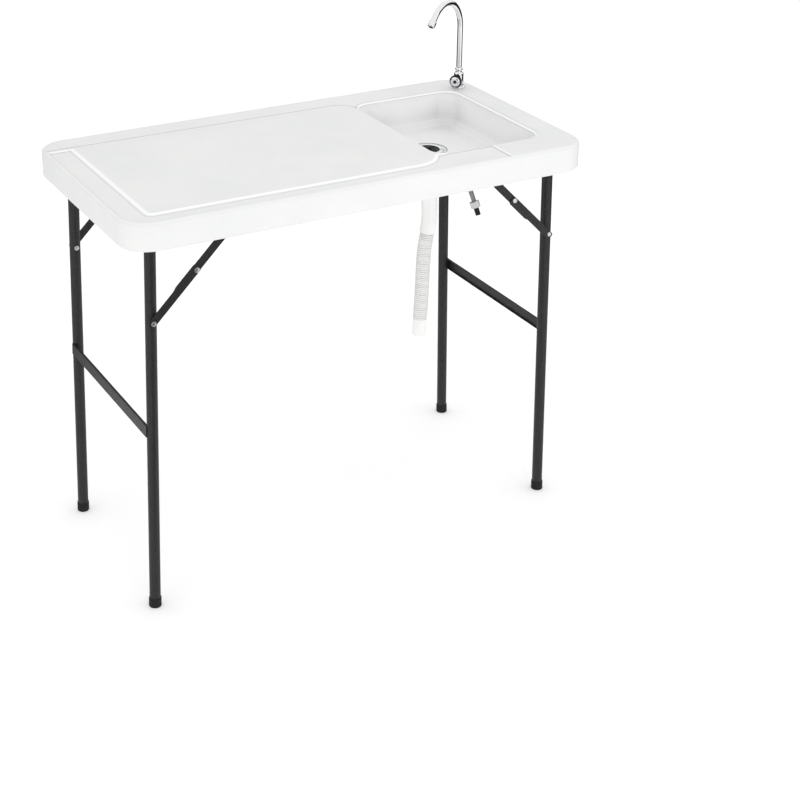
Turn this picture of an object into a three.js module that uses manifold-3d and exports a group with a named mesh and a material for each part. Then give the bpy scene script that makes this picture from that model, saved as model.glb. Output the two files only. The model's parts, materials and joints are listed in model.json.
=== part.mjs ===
// Folding camping sink stand: a moulded table with a sunk bowl at its right end, two folding
// leg frames with knee braces, a swivel tap with its supply hose, and a drain with its hose.
// Millimetres, +Z up, the floor at Z = 0, the sink end at +X, the front at -Y.
import * as THREE from 'three';
import { mergeVertices } from 'three/addons/utils/BufferGeometryUtils.js';
import Module from 'manifold-3d';

const wasm = await Module();
wasm.setup();

const group = new THREE.Group();
const DEG = Math.PI / 180;
const TURN = 2 * Math.PI;

// Facet counts
const facets = {
  corner: 8,
  tube: 24,
  drain: 26,
  pin: 12,
  rod: 16,
  bend: 10,
  hose: 12,
  ribbed: 8,
  link: 4,
  edge: 4,
  supplyRings: 10,
};

// How many of each repeated feature
const counts = { gridHoles: 8, gridInnerHoles: 4, nutLugs: 8 };

// Clearance between pieces that touch, how far a cut runs past a face, and the weld distance
const seatGap = 0.3;
const overrun = 4;
const weld = 1e-4;

// Materials
const plasticWhite = { color: 0xe9eaea, roughness: 0.55, metalness: 0 };
const steelCoat = { color: 0x46474b, roughness: 0.5, metalness: 0.4 };
const steelBright = { color: 0xc9cbce, roughness: 0.3, metalness: 0.9 };
const chrome = { color: 0xd9dce0, roughness: 0.12, metalness: 1 };
const capBlack = { color: 0x151516, roughness: 0.6, metalness: 0 };
const braid = { color: 0xaeb1b5, roughness: 0.4, metalness: 0.8 };
const hoseWhite = { color: 0xe4e4e0, roughness: 0.5, metalness: 0 };

// Table, from the labelled 45 by 23 inch top at 37 inches
const table = {
  length: 1143,
  depth: 584,
  height: 940,
  cornerRadius: 66,
  edgeRound: 8,
  lipRound: 3,
  skirtHeight: 64,
  skirtWall: 12,
  slab: 17.7,
  scallopPitch: 50,
  scallopDepth: 3,
};
table.skirtZ = table.height - table.skirtHeight;
table.underZ = table.height - table.slab;

// Work panel on the left, gutter round its left and front, and the groove at its back
const panel = {
  left: 68.5,
  front: 55,
  back: 69,
  cornerRadius: 9,
  backEndRadius: 55,
  frontEndRadius: 70,
  grooveWidth: 3,
  grooveDepth: 1.6,
  grooveReach: 12,
  chamfer: 10,
};
const gutter = { rim: 7, depth: 4, slope: 3, backStop: 77, rightStop: 207.5 };

// Sink bowl, sunk into the right end
const bowl = {
  length: 282,
  endMargin: 73.5,
  sideMargin: 91.5,
  cornerRadius: 38,
  depth: 80,
  taper: 16,
  wall: 5,
  floor: 14,
  fillet: 26,
  lip: 3,
};
bowl.width = table.depth - 2 * bowl.sideMargin;
bowl.x = table.length / 2 - bowl.endMargin - bowl.length / 2;
bowl.floorZ = table.height - bowl.depth;
bowl.underZ = bowl.floorZ - bowl.floor;

// Leg frames: the two interleave when folded, so each is shifted across the table
const frame = {
  hingeInset: 63.5,
  hingeBelowUnder: 21.3,
  hingeRadius: 8,
  hingeWall: 1.5,
  legRadius: 12.7,
  legWall: 1.3,
  legMargin: 45.2,
  legOver: 13,
  shift: 16,
  splay: 1.17 * DEG,
};
frame.legSpread = table.depth - 2 * (frame.legMargin + frame.shift);
frame.hingeX = table.length / 2 - frame.hingeInset;
frame.hingeZ = table.underZ - frame.hingeBelowUnder;
frame.drop = frame.hingeZ / Math.cos(frame.splay);

const cap = { wall: 1.3, height: 22, floor: 4 };
const strap = { width: 27, sheet: 2, flange: 6, below: 460 };

// Corner rails and the centre side rails, pressed from strip
const rail = {
  height: 35,
  flange: 9,
  sheet: 2,
  outboard: 16,
  inboard: 255,
  fromLeg: 19,
  hingeHoleGap: 0.4,
  cornerRound: 6,
};
const sideRail = { height: 27, flange: 12, sheet: 2, endGap: 5, skirtGap: 3 };

// Knee braces: two strips a corner, pivots off centre in the strip
const brace = {
  legPivot: 200,
  railPivotIn: 200,
  railPivotUp: 7,
  left: 11.8,
  right: 6.7,
  endOver: 9,
  endRound: 6.5,
  sheet: 1.8,
  firstPlane: 0.3,
  planeGap: 0.3,
  kneeTab: 57,
  kneeTabRise: 2.6,
  tabSlope: 9,
};
const rivet = { shank: 3, shoulder: 4.5, head: 5.5, headHeight: 1.3, holeGap: 0.3, kneeHead: 6 };

// Tap at the back right corner
const tap = {
  fromEnd: 44.5,
  fromBack: 78,
  flangeRadius: 17.5,
  flangeHeight: 4,
  flangeRound: 1.5,
  bodyRadius: 12,
  bodyHeight: 33,
  neckRadius: 8.5,
  neckHeight: 4,
  shankRadius: 8,
  shankBelow: 62,
  washerRadius: 13,
  washerThick: 1.5,
  nutAcross: 26,
  nutHeight: 7,
  collarRadius: 9.5,
  collarHeight: 12,
  collarBore: 5.2,
  spoutRadius: 7.3,
  spoutWall: 1.2,
  spoutRise: 102,
  bendRadius: 78,
  bendAngle: 135 * DEG,
  tipRun: 12,
  aeratorRadius: 9.2,
  aeratorLength: 16,
  spoutTurn: -150 * DEG,
  leverTurn: -140 * DEG,
  hubRadius: 10.5,
  hubLength: 9,
  leverHeight: 21,
  leverRadius: 13,
  leverThick: 5,
  leverReach: 17,
  leverTip: 4,
  leverLean: 160 * DEG,
  stemRadius: 4,
  stemLength: 3,
  capRadius: 11,
  capThick: 4,
};
tap.x = table.length / 2 - tap.fromEnd;
tap.y = table.depth / 2 - tap.fromBack;

// Supply hose with its nuts
const supply = {
  radius: 6,
  couplingAcross: 22,
  couplingHeight: 18,
  couplingUp: 8,
  seat: 6,
  nutAcross: 24,
  nutHeight: 17,
  connectorRadius: 6.7,
  connectorLength: 20,
  connectorTip: 5,
};

// Drain in the bowl floor
const drain = {
  fromBowlX: -24,
  fromBowlY: 34,
  flangeRadius: 45,
  flangeThick: 1.8,
  flangeInner: 38,
  recessRadius: 47,
  recessDepth: 2.6,
  neckRadius: 29,
  neckWall: 2.2,
  neckDrop: 5,
  neckLength: 34,
  tailRadius: 15,
  tailWall: 2,
  tailLength: 42,
  hoseLap: 36,
  coneLength: 9,
  gasketThick: 2.5,
  gasketRadius: 35,
  nutRadius: 34,
  nutHeight: 11,
  nutLug: 3,
  gridRadius: 36.5,
  gridThick: 2.4,
  gridHole: 4.4,
  gridRing: 24,
  gridInnerRing: 12,
  gridKnob: 5,
  gridKnobHeight: 6,
};
drain.x = bowl.x + drain.fromBowlX;
drain.y = drain.fromBowlY;

const hose = {
  radius: 18,
  cuffRadius: 19.5,
  endRadius: 17.5,
  valley: 16,
  bore: 14.5,
  cuffBore: 16.7,
  ribPitch: 5.2,
  topCuff: 168,
  bottomCuff: 45,
};

// A solid from a closed three.js geometry
function solid(geometry) {
  const bare = geometry.index ? geometry.toNonIndexed() : geometry.clone();
  bare.deleteAttribute('normal');
  bare.deleteAttribute('uv');
  const welded = mergeVertices(bare, weld);
  const index = [];
  const source = welded.index.array;
  for (let i = 0; i < source.length; i += 3) {
    const [a, b, c] = [source[i], source[i + 1], source[i + 2]];
    if (a !== b && b !== c && c !== a) index.push(a, b, c);
  }
  return new wasm.Manifold(new wasm.Mesh({
    numProp: 3,
    vertProperties: new Float32Array(welded.attributes.position.array),
    triVerts: new Uint32Array(index),
  }));
}

// A three.js geometry from a solid
function surface(body) {
  const mesh = body.getMesh();
  const geometry = new THREE.BufferGeometry();
  const points = new Float32Array(mesh.vertProperties);
  geometry.setAttribute('position', new THREE.BufferAttribute(points, mesh.numProp));
  geometry.setIndex(new THREE.BufferAttribute(new Uint32Array(mesh.triVerts), 1));
  return geometry;
}

function cut(base, ...tools) {
  return tools.reduce((body, tool) => body.subtract(solid(tool)), solid(base));
}

function piece(name, shape, finish, parent = group) {
  const geometry = surface(shape.isBufferGeometry ? solid(shape) : shape);
  const mesh = new THREE.Mesh(geometry, new THREE.MeshStandardMaterial(finish));
  mesh.name = name;
  parent.add(mesh);
  return mesh;
}

// Corner points of a rectangle with round corners, drawn in by an inset
function roundedOutline(length, width, radius, inset = 0, steps = facets.corner) {
  const r = radius - inset;
  const points = [];
  for (const [sx, sy, start] of [[1, 1, 0], [-1, 1, 1], [-1, -1, 2], [1, -1, 3]]) {
    for (let i = 0; i <= steps; i += 1) {
      const angle = (start + i / steps) * TURN / 4;
      const x = sx * (length / 2 - radius) + r * Math.cos(angle);
      const y = sy * (width / 2 - radius) + r * Math.sin(angle);
      points.push(new THREE.Vector2(x, y));
    }
  }
  return points;
}

// A closed skin over level outlines with equal counts, lowest first
function stack(levels) {
  const count = levels[0].outline.length;
  const position = [];
  for (const { outline, z } of levels) {
    for (const point of outline) position.push(point.x, point.y, z);
  }
  const index = [];
  const top = position.length / 3 - count;
  for (let low = 0; low < top; low += count) {
    for (let i = 0; i < count; i += 1) {
      const a = low + i;
      const b = low + (i + 1) % count;
      index.push(a, b, b + count, a, b + count, a + count);
    }
  }
  for (const face of THREE.ShapeUtils.triangulateShape(levels[0].outline, [])) {
    index.push(face[2], face[1], face[0]);
  }
  for (const face of THREE.ShapeUtils.triangulateShape(levels.at(-1).outline, [])) {
    index.push(face[0] + top, face[1] + top, face[2] + top);
  }
  const geometry = new THREE.BufferGeometry();
  geometry.setAttribute('position', new THREE.Float32BufferAttribute(position, 3));
  geometry.setIndex(index);
  return geometry;
}

function prism(shape, height, z = 0, curveSegments = facets.corner) {
  const geometry = new THREE.ExtrudeGeometry(shape, {
    depth: height,
    bevelEnabled: false,
    curveSegments,
  });
  return geometry.translate(0, 0, z);
}

// A turned piece: profile pairs are radius and height, closed on itself, axis along Z
function turned(profile, steps = facets.tube) {
  const points = profile.map(([r, z]) => new THREE.Vector2(r, z));
  points.push(points[0].clone());
  return new THREE.LatheGeometry(points, steps).rotateX(TURN / 4);
}

// A plain round bar along Z from z0 to z1
function bar(radius, z0, z1, steps = facets.tube) {
  return turned([[0, z0], [radius, z0], [radius, z1], [0, z1]], steps);
}

function tube(radius, wall, z0, z1, steps = facets.tube) {
  return turned([[radius - wall, z0], [radius, z0], [radius, z1], [radius - wall, z1]], steps);
}

function box(sx, sy, sz, x, y, z) {
  return new THREE.BoxGeometry(sx, sy, sz).translate(x, y, z);
}

// A hexagon nut along Z with a bore
function hexNut(across, boreRadius, z0, z1) {
  const circum = across / Math.sqrt(3);
  const shape = new THREE.Shape();
  for (let i = 0; i < 6; i += 1) {
    const angle = i * TURN / 6;
    const x = circum * Math.cos(angle);
    const y = circum * Math.sin(angle);
    if (i) shape.lineTo(x, y);
    else shape.moveTo(x, y);
  }
  shape.closePath();
  const chamfered = turned([
    [0, z0], [across / 2, z0], [circum, z0 + circum - across / 2],
    [circum, z1 - circum + across / 2], [across / 2, z1], [0, z1],
  ]);
  const blank = solid(prism(shape, z1 - z0, z0)).intersect(solid(chamfered));
  return blank.subtract(solid(bar(boreRadius, z0 - overrun, z1 + overrun, facets.rod)));
}

// Rotation with the given X and Z directions
function basis(xDir, zDir) {
  const yDir = new THREE.Vector3().crossVectors(zDir, xDir);
  return new THREE.Matrix4().makeBasis(xDir, yDir, zDir);
}

// Moulded top
function wavyOutline() {
  const radius = table.cornerRadius - table.skirtWall;
  const length = table.length - 2 * table.skirtWall;
  const width = table.depth - 2 * table.skirtWall;
  const corners = roundedOutline(length, width, radius);
  const perCorner = facets.corner + 1;
  const points = [];
  for (let side = 0; side < 4; side += 1) {
    const arc = corners.slice(side * perCorner, (side + 1) * perCorner);
    points.push(...arc);
    const from = arc.at(-1);
    const to = corners[((side + 1) % 4) * perCorner];
    const run = to.clone().sub(from);
    const waves = Math.max(1, Math.round(run.length() / table.scallopPitch));
    const inward = new THREE.Vector2(-run.y, run.x).normalize();
    for (let i = 1; i < 4 * waves; i += 1) {
      const bulge = Math.max(0, Math.sin(i * TURN / 4 - TURN / 4) + 1) / 2;
      const point = from.clone().addScaledVector(run, i / (4 * waves));
      points.push(point.addScaledVector(inward, table.scallopDepth * bulge));
    }
  }
  return points;
}

function tableBlank() {
  const outline = (inset) => roundedOutline(table.length, table.depth, table.cornerRadius, inset);
  const levels = [
    { outline: outline(table.lipRound), z: table.skirtZ },
    { outline: outline(0), z: table.skirtZ + table.lipRound },
  ];
  for (let i = 0; i <= facets.edge; i += 1) {
    const angle = (i / facets.edge) * TURN / 4;
    levels.push({
      outline: outline(table.edgeRound * (1 - Math.cos(angle))),
      z: table.height - table.edgeRound * (1 - Math.sin(angle)),
    });
  }
  return stack(levels);
}

// One skin of the bowl: drawn in towards its floor, with a round at the floor
function bowlSkin(grow, floorZ, topZ, flare) {
  const outline = (inset, round) => roundedOutline(
    bowl.length + 2 * (grow - inset), bowl.width + 2 * (grow - inset),
    bowl.cornerRadius + grow - round,
  );
  const inset = (z) => bowl.taper * (table.height - z) / bowl.depth;
  const levels = [];
  for (let i = 0; i <= facets.edge; i += 1) {
    const angle = (i / facets.edge) * TURN / 4;
    const z = floorZ + bowl.fillet * (1 - Math.cos(angle));
    const round = bowl.fillet * (1 - Math.sin(angle));
    levels.push({ outline: outline(inset(z) + round, round), z });
  }
  if (flare) {
    levels.push({ outline: outline(inset(topZ - flare), 0), z: topZ - flare });
    levels.push({ outline: outline(-flare / 3, -flare / 3), z: topZ - flare / 3 });
    levels.push({ outline: outline(-flare, -flare), z: topZ });
    levels.push({ outline: outline(-flare, -flare), z: topZ + overrun });
  } else {
    levels.push({ outline: outline(inset(topZ), 0), z: topZ });
  }
  return stack(levels).translate(bowl.x, 0, 0);
}

// Panel outline, grown on all sides by a margin
function panelShape(grow) {
  const x0 = -table.length / 2 + panel.left - grow;
  const x1 = bowl.x - bowl.length / 2 + grow;
  const y0 = -table.depth / 2 + panel.front - grow;
  const y1 = table.depth / 2 - panel.back + grow;
  const shape = new THREE.Shape();
  const small = panel.cornerRadius + grow;
  const front = panel.frontEndRadius + grow;
  const back = panel.backEndRadius + grow;
  shape.moveTo(x0, y0 + small);
  shape.absarc(x0 + small, y0 + small, small, TURN / 2, TURN * 3 / 4, false);
  shape.absarc(x1 - front, y0 + front, front, TURN * 3 / 4, TURN, false);
  shape.absarc(x1 - back, y1 - back, back, 0, TURN / 4, false);
  shape.absarc(x0 + small, y1 - small, small, TURN / 4, TURN / 2, false);
  shape.closePath();
  return shape;
}

// Gutter outline: the left band and the front band up to the step beside the bowl
function gutterShape() {
  const x0 = -table.length / 2 + gutter.rim;
  const y0 = -table.depth / 2 + gutter.rim;
  const x1 = table.length / 2 - gutter.rightStop;
  const y1 = table.depth / 2 - gutter.backStop;
  const radius = table.cornerRadius - gutter.rim;
  const insideX = -table.length / 2 + panel.left + panel.cornerRadius;
  const insideY = -bowl.width / 2 + bowl.lip;
  const shape = new THREE.Shape();
  shape.moveTo(x0, y1);
  shape.lineTo(x0, y0 + radius);
  shape.absarc(x0 + radius, y0 + radius, radius, TURN / 2, TURN * 3 / 4, false);
  shape.lineTo(x1, y0);
  shape.lineTo(x1, insideY);
  shape.lineTo(insideX, insideY);
  shape.lineTo(insideX, y1);
  shape.closePath();
  return shape;
}

function gutterCut() {
  const geometry = new THREE.ExtrudeGeometry(gutterShape(), {
    depth: overrun,
    bevelEnabled: true,
    bevelThickness: gutter.depth,
    bevelSize: gutter.slope,
    bevelOffset: -gutter.slope,
    bevelSegments: 1,
    curveSegments: facets.corner,
  }).translate(0, 0, table.height);
  const floor = table.height - gutter.depth;
  const keep = stack([
    { outline: panelShape(panel.chamfer).getPoints(facets.corner), z: floor - overrun },
    { outline: panelShape(panel.chamfer).getPoints(facets.corner), z: floor },
    { outline: panelShape(0).getPoints(facets.corner), z: table.height },
    { outline: panelShape(0).getPoints(facets.corner), z: table.height + 2 * overrun },
  ]);
  return solid(geometry).subtract(solid(keep));
}

// The groove runs along the back of the panel and round its end to the bowl
function grooveCut() {
  const z = table.height - panel.grooveDepth;
  const back = table.depth / 2 - panel.back;
  const right = bowl.x - bowl.length / 2;
  const left = -table.length / 2 + panel.left;
  const wide = solid(prism(panelShape(panel.grooveWidth), panel.grooveDepth + overrun, z));
  const keep = prism(panelShape(0), panel.grooveDepth + 2 * overrun, z - overrun / 2);
  const depth = 2 * panel.backEndRadius;
  const end = box(depth, depth, depth, right, back, table.height);
  const run = box(right - left + panel.grooveReach, panel.grooveWidth, panel.grooveDepth + overrun,
    (right + left - panel.grooveReach) / 2 - panel.backEndRadius,
    back + panel.grooveWidth / 2, z + (panel.grooveDepth + overrun) / 2);
  return wide.subtract(solid(keep)).intersect(solid(end)).add(solid(run));
}

function tabletop() {
  const recess = prism(new THREE.Shape(wavyOutline()), table.underZ - table.skirtZ + overrun,
    table.skirtZ - overrun);
  const skinTop = table.underZ + table.slab / 2;
  const sunk = bar(drain.recessRadius, bowl.floorZ - drain.recessDepth, bowl.floorZ + overrun)
    .translate(drain.x, drain.y, 0);
  const drainHole = bar(drain.neckRadius + seatGap, bowl.underZ - overrun, bowl.floorZ + overrun)
    .translate(drain.x, drain.y, 0);
  const tapHole = bar(tap.shankRadius + seatGap, table.underZ - overrun, table.height + overrun)
    .translate(tap.x, tap.y, 0);
  const body = cut(tableBlank(), recess)
    .add(solid(bowlSkin(bowl.wall, bowl.underZ, skinTop, 0)))
    .subtract(solid(bowlSkin(0, bowl.floorZ, table.height, bowl.lip)))
    .subtract(gutterCut())
    .subtract(grooveCut())
    .subtract(solid(sunk))
    .subtract(solid(drainHole))
    .subtract(solid(tapHole));
  piece('tabletop', body, plasticWhite);
}

// Steel under the top
function channelShape(height, flange, sheet) {
  const shape = new THREE.Shape();
  shape.moveTo(0, 0);
  shape.lineTo(flange, 0);
  shape.lineTo(flange, height);
  shape.lineTo(0, height);
  shape.lineTo(0, height - sheet);
  shape.lineTo(flange - sheet, height - sheet);
  shape.lineTo(flange - sheet, sheet);
  shape.lineTo(0, sheet);
  shape.closePath();
  return shape;
}

// A channel along X with its open side towards the table centre, its top against the slab
function channel(section, x0, x1, innerY, side) {
  const shape = channelShape(section.height, section.flange, section.sheet);
  const run = prism(shape, x1 - x0);
  const turn = basis(new THREE.Vector3(0, side, 0), new THREE.Vector3(side, 0, 0));
  const start = side > 0 ? x0 : x1;
  const low = table.underZ - seatGap - section.height;
  return run.applyMatrix4(turn).translate(start, side * innerY, low);
}

function cornerRail(end, side) {
  const legY = frame.legSpread / 2;
  const innerY = legY + rail.fromLeg;
  const x0 = end.side > 0 ? frame.hingeX - rail.inboard : -frame.hingeX - rail.outboard;
  const x1 = x0 + rail.inboard + rail.outboard;
  const hingeHole = bar(frame.hingeRadius + rail.hingeHoleGap, 0, rail.flange + 2 * overrun)
    .rotateX(-TURN / 4 * side)
    .translate(end.side * frame.hingeX, side * (innerY - overrun), frame.hingeZ);
  const pivotHole = bar(rivet.shank + rivet.holeGap, 0, rail.flange + 2 * overrun, facets.pin)
    .rotateX(-TURN / 4 * side)
    .translate(end.side * (frame.hingeX - brace.railPivotIn), side * (innerY - overrun),
      frame.hingeZ + brace.railPivotUp);
  const body = cut(channel(rail, x0, x1, innerY, side), hingeHole, pivotHole);
  const mesh = piece(`${end.name}_rail_${side < 0 ? 'front' : 'back'}`, body, steelCoat);
  mesh.position.y = end.shift;
}

function centreRail(side) {
  const half = frame.hingeX - rail.inboard - sideRail.endGap;
  const innerY = table.depth / 2 - table.skirtWall - table.scallopDepth
    - sideRail.skirtGap - sideRail.flange;
  piece(`centre_rail_${side < 0 ? 'front' : 'back'}`,
    channel(sideRail, -half, half, innerY, side), steelCoat);
}

// A folding leg frame, built about its hinge line
function legFrame(end) {
  const hinge = new THREE.Group();
  hinge.position.set(end.side * frame.hingeX, end.shift, frame.hingeZ);
  group.add(hinge);
  const hingeHalf = frame.legSpread / 2 + rail.fromLeg + rail.flange + rail.sheet;
  const hingeTube = tube(frame.hingeRadius, frame.hingeWall, -hingeHalf, hingeHalf, facets.rod);
  piece(`${end.name}_hinge_tube`, hingeTube.rotateX(TURN / 4), steelCoat, hinge);
  const splayed = new THREE.Group();
  splayed.rotation.y = -end.side * frame.splay;
  hinge.add(splayed);
  for (const side of [-1, 1]) {
    const y = side * frame.legSpread / 2;
    const where = side < 0 ? 'front' : 'back';
    const leg = tube(frame.legRadius, frame.legWall, -frame.drop + cap.floor + seatGap, frame.legOver);
    const eye = bar(frame.hingeRadius + seatGap, -2 * frame.legRadius, 2 * frame.legRadius, facets.rod)
      .rotateX(TURN / 4);
    const pinHole = bar(rivet.shank + rivet.holeGap, -2 * frame.legRadius, 2 * frame.legRadius,
      facets.pin).rotateX(TURN / 4).translate(0, 0, -brace.legPivot);
    piece(`${end.name}_leg_${where}`, cut(leg, eye, pinHole), steelCoat, splayed).position.y = y;
    piece(`${end.name}_foot_cap_${where}`, footCap(end), capBlack, splayed).position.y = y;
  }
  piece(`${end.name}_crossbar`, crossbar(end), steelCoat, splayed);
}

// A foot cap, its sole cut level with the floor
function footCap(end) {
  const inner = frame.legRadius + seatGap;
  const outer = inner + cap.wall;
  const low = -frame.drop - overrun;
  const top = -frame.drop + cap.height;
  const seat = -frame.drop + cap.floor;
  const cup = turned([[0, low], [outer, low], [outer, top], [inner, top], [inner, seat], [0, seat]]);
  const floorSide = 4 * outer;
  const below = box(floorSide, floorSide, floorSide, 0, 0, -floorSide / 2)
    .rotateY(end.side * frame.splay)
    .translate(0, 0, -frame.drop);
  return cut(cup, below);
}

// The strip between the legs, on their outer faces, its edges turned in between them
function crossbar(end) {
  const shape = channelShape(strap.width, strap.flange, strap.sheet);
  const run = prism(shape, frame.legSpread, -frame.legSpread / 2);
  const turn = basis(new THREE.Vector3(end.side, 0, 0), new THREE.Vector3(0, -end.side, 0));
  const outer = frame.legRadius + seatGap + strap.sheet;
  const placed = run.applyMatrix4(turn)
    .translate(end.side * (outer - strap.flange), 0, -strap.below - strap.width / 2);
  const legCuts = [-1, 1].map((side) => bar(frame.legRadius + seatGap,
    -strap.below - strap.width, -strap.below + strap.width)
    .translate(0, side * frame.legSpread / 2, 0));
  return cut(placed, ...legCuts);
}

// Brace geometry in the plane of one leg: x towards the table centre, z up, from the hinge line
const legPivotAt = new THREE.Vector2(
  -brace.legPivot * Math.sin(frame.splay), -brace.legPivot * Math.cos(frame.splay),
);
const railPivotAt = new THREE.Vector2(brace.railPivotIn, brace.railPivotUp);
const kneeAt = legPivotAt.clone().add(railPivotAt).multiplyScalar(1 / 2);
const linkLength = legPivotAt.distanceTo(railPivotAt) / 2;

function linkShape(tab) {
  const { left, right, endOver: over, endRound: r } = brace;
  const shape = new THREE.Shape();
  shape.absarc(-over + r, -right + r, r, TURN / 2, TURN * 3 / 4, false);
  shape.absarc(linkLength + over - r, -right + r, r, TURN * 3 / 4, TURN, false);
  if (tab) {
    const high = left + brace.kneeTabRise;
    shape.absarc(linkLength + over - r, high - r, r, 0, TURN / 4, false);
    shape.lineTo(linkLength - brace.kneeTab, high);
    shape.lineTo(linkLength - brace.kneeTab - brace.tabSlope, left);
  } else {
    shape.absarc(linkLength + over - r, left - r, r, 0, TURN / 4, false);
  }
  shape.absarc(-over + r, left - r, r, TURN / 4, TURN / 2, false);
  shape.closePath();
  for (const x of [0, linkLength]) {
    const hole = new THREE.Path();
    hole.absarc(x, 0, rivet.shank + rivet.holeGap, 0, TURN, true);
    shape.holes.push(hole);
  }
  return shape;
}

// The two links of one brace and their three rivets
function kneeBrace(end, side) {
  const where = side < 0 ? 'front' : 'back';
  const inward = new THREE.Vector3(-end.side, 0, 0);
  const up = new THREE.Vector3(0, 0, 1);
  const outward = new THREE.Vector3(0, side, 0);
  const place = (point, outY) => new THREE.Vector3(
    end.side * (frame.hingeX - point.x), end.shift + side * (frame.legSpread / 2 + outY),
    frame.hingeZ + point.y,
  );
  const run = railPivotAt.clone().sub(legPivotAt).normalize();
  const along = inward.clone().multiplyScalar(run.x).addScaledVector(up, run.y);
  const turn = new THREE.Quaternion().setFromRotationMatrix(basis(along, outward));
  const upperIn = frame.legRadius + brace.firstPlane;
  const upperOut = upperIn + brace.sheet;
  const lowerIn = upperOut + brace.planeGap;
  const lowerOut = lowerIn + brace.sheet;
  const add = (name, shape, point, outY, finish) => {
    const mesh = piece(`${end.name}_${name}_${where}`, shape, finish);
    mesh.position.copy(place(point, outY));
    mesh.quaternion.copy(turn);
  };
  add('upper_link', prism(linkShape(false), brace.sheet, 0, facets.link), kneeAt, upperIn, steelCoat);
  add('lower_link', prism(linkShape(true), brace.sheet, 0, facets.link), legPivotAt, lowerIn, steelCoat);
  const headIn = lowerOut + seatGap;
  const headOut = headIn + rivet.headHeight;
  const legFar = -frame.legRadius - seatGap;
  add('leg_rivet', turned([
    [0, legFar - rivet.headHeight], [rivet.head, legFar - rivet.headHeight], [rivet.head, legFar],
    [rivet.shank, legFar], [rivet.shank, upperIn], [rivet.shoulder, upperIn],
    [rivet.shoulder, upperOut], [rivet.shank, upperOut], [rivet.shank, headIn],
    [rivet.head, headIn], [rivet.head, headOut], [0, headOut],
  ], facets.pin), legPivotAt, 0, steelBright);
  add('knee_rivet', turned([
    [0, lowerIn], [rivet.shank, lowerIn], [rivet.shank, headIn],
    [rivet.kneeHead, headIn], [rivet.kneeHead, headOut], [0, headOut],
  ], facets.pin), kneeAt, 0, steelBright);
  const webIn = rail.fromLeg + rail.flange - rail.sheet - seatGap;
  const webOut = rail.fromLeg + rail.flange + seatGap;
  add('rail_rivet', turned([
    [0, upperIn], [rivet.shank, upperIn], [rivet.shank, upperOut + seatGap],
    [rivet.shoulder, upperOut + seatGap], [rivet.shoulder, webIn], [rivet.shank, webIn],
    [rivet.shank, webOut], [rivet.head, webOut], [rivet.head, webOut + rivet.headHeight],
    [0, webOut + rivet.headHeight],
  ], facets.pin), railPivotAt, 0, steelBright);
}

// Tap
function spoutRoute() {
  const rise = tap.spoutRise;
  const r = tap.bendRadius;
  const points = [new THREE.Vector3(0, 0, 0), new THREE.Vector3(0, 0, rise)];
  for (let i = 1; i <= facets.bend; i += 1) {
    const angle = tap.bendAngle * i / facets.bend;
    points.push(new THREE.Vector3(r * (1 - Math.cos(angle)), 0, rise + r * Math.sin(angle)));
  }
  const away = new THREE.Vector3(Math.sin(tap.bendAngle), 0, Math.cos(tap.bendAngle));
  const tip = points.at(-1).clone().addScaledVector(away, tap.tipRun);
  points.push(tip);
  return { points, away, tip };
}

// A round tube through given points, with a ring square to the run at each
function ringTube(points, radii, bores, sides) {
  const frames = points.map((point, i) => {
    const before = points[Math.max(0, i - 1)];
    const after = points[Math.min(points.length - 1, i + 1)];
    return after.clone().sub(before).normalize();
  });
  const side = new THREE.Vector3(0, 1, 0);
  const outer = [];
  const inner = [];
  points.forEach((point, i) => {
    const along = frames[i];
    const u = side.clone().addScaledVector(along, -side.dot(along)).normalize();
    const v = new THREE.Vector3().crossVectors(along, u);
    for (let k = 0; k < sides; k += 1) {
      const angle = TURN * k / sides;
      const dir = u.clone().multiplyScalar(Math.cos(angle)).addScaledVector(v, Math.sin(angle));
      outer.push(point.clone().addScaledVector(dir, radii[i]));
      if (bores[i]) inner.push({ ring: i, at: point.clone().addScaledVector(dir, bores[i]) });
    }
  });
  const position = [];
  for (const p of outer) position.push(p.x, p.y, p.z);
  for (const p of inner) position.push(p.at.x, p.at.y, p.at.z);
  const index = [];
  const skin = (first, rings, flip) => {
    for (let i = 0; i + 1 < rings; i += 1) {
      for (let k = 0; k < sides; k += 1) {
        const a = first + i * sides + k;
        const b = first + i * sides + (k + 1) % sides;
        if (flip) index.push(a, b + sides, b, a, a + sides, b + sides);
        else index.push(a, b, b + sides, a, b + sides, a + sides);
      }
    }
  };
  skin(0, points.length, false);
  const innerRings = inner.length / sides;
  const last = (points.length - 1) * sides;
  const innerFirst = outer.length;
  const innerLast = innerFirst + (innerRings - 1) * sides;
  if (innerRings) skin(innerFirst, innerRings, true);
  for (let k = 0; k < sides; k += 1) {
    const n = (k + 1) % sides;
    if (innerRings) {
      index.push(k, innerFirst + k, innerFirst + n, k, innerFirst + n, n);
      index.push(last + k, last + n, innerLast + n, last + k, innerLast + n, innerLast + k);
    } else if (k > 0 && k < sides - 1) {
      index.push(0, k + 1, k);
      index.push(last, last + k, last + k + 1);
    }
  }
  const geometry = new THREE.BufferGeometry();
  geometry.setAttribute('position', new THREE.Float32BufferAttribute(position, 3));
  geometry.setIndex(index);
  return geometry;
}

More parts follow.
